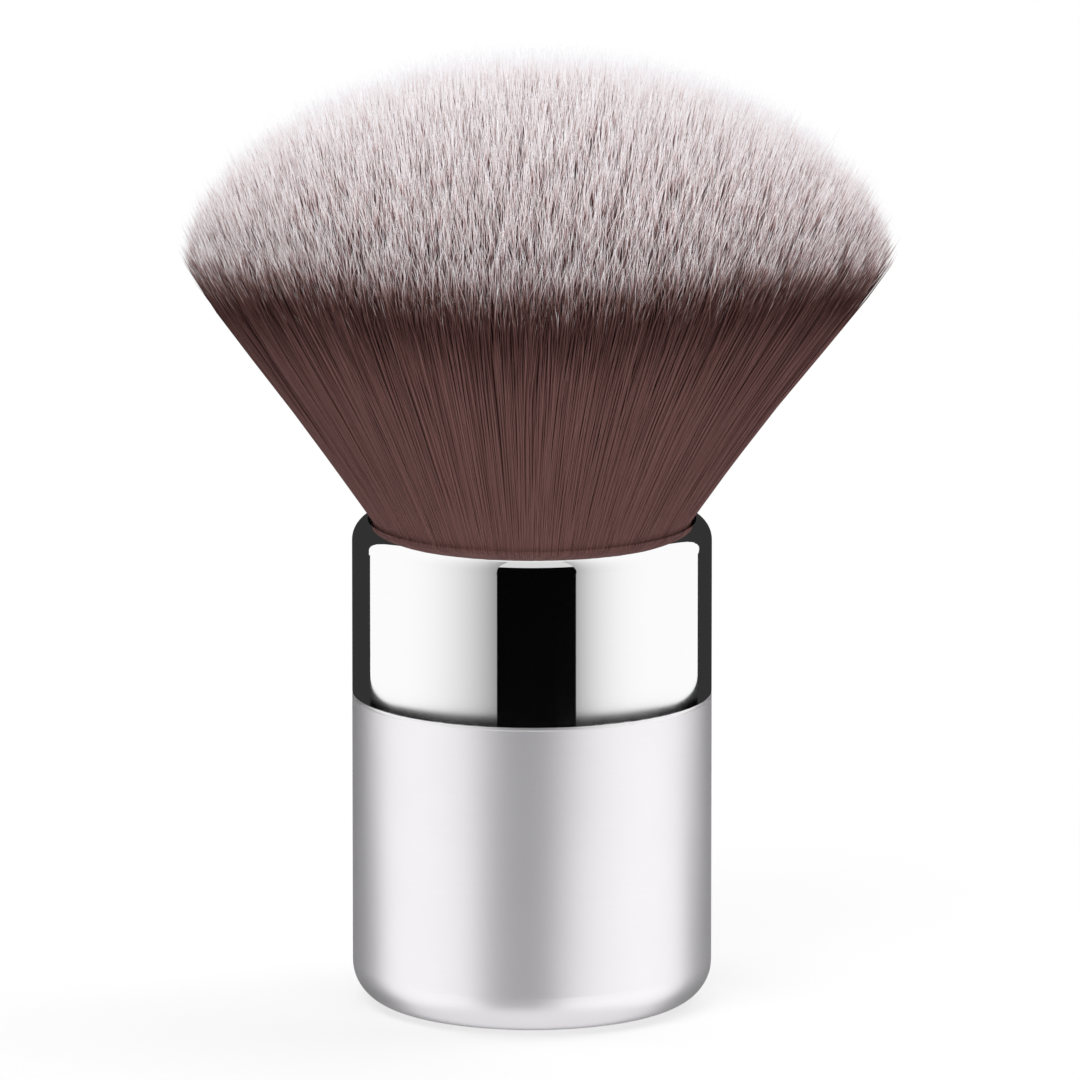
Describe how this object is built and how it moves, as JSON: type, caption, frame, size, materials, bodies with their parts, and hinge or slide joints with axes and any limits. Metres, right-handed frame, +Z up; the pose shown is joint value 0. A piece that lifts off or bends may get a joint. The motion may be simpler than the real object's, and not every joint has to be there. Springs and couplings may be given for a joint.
{
  "type": "kabuki makeup brush",
  "caption": "Short kabuki makeup brush: a flared dome of soft brown bristles with white tips, in a mirror-polished ferrule over a satin aluminium handle that stands on its flat base.",
  "frame": {"origin": "centre of the flat base that the brush stands on", "axes": "+Z up along the handle's axis, from the base to the top of the dome; the handle is round about it, the bristle head is widest along X, and +X is to the right in the picture's view, which looks along +Y"},
  "size_m": [0.0588, 0.0509, 0.0804],
  "materials": {
    "satin_aluminium": "satin anodised, with fine grain round the handle",
    "polished_aluminium": "mirror-polished",
    "core_plastic": "moulded, plain",
    "weight_steel": "turned",
    "adhesive": "cured, clear amber",
    "cup_plastic": "moulded, plain",
    "root_resin": "cast, honey-coloured",
    "root_thread": "waxed thread",
    "filament": "soft synthetic filaments, brown with white tips"
  },
  "bodies": {
    "root": {"handle_shell": "satin_aluminium", "handle_core": "core_plastic", "base_weight": "weight_steel", "shell_glue": "adhesive", "ferrule_glue": "adhesive", "ferrule": "polished_aluminium", "knot_cup": "cup_plastic", "root_plug": "root_resin", "knot_thread": "root_thread", "bristles": "filament"}
  },
  "joints": []
}
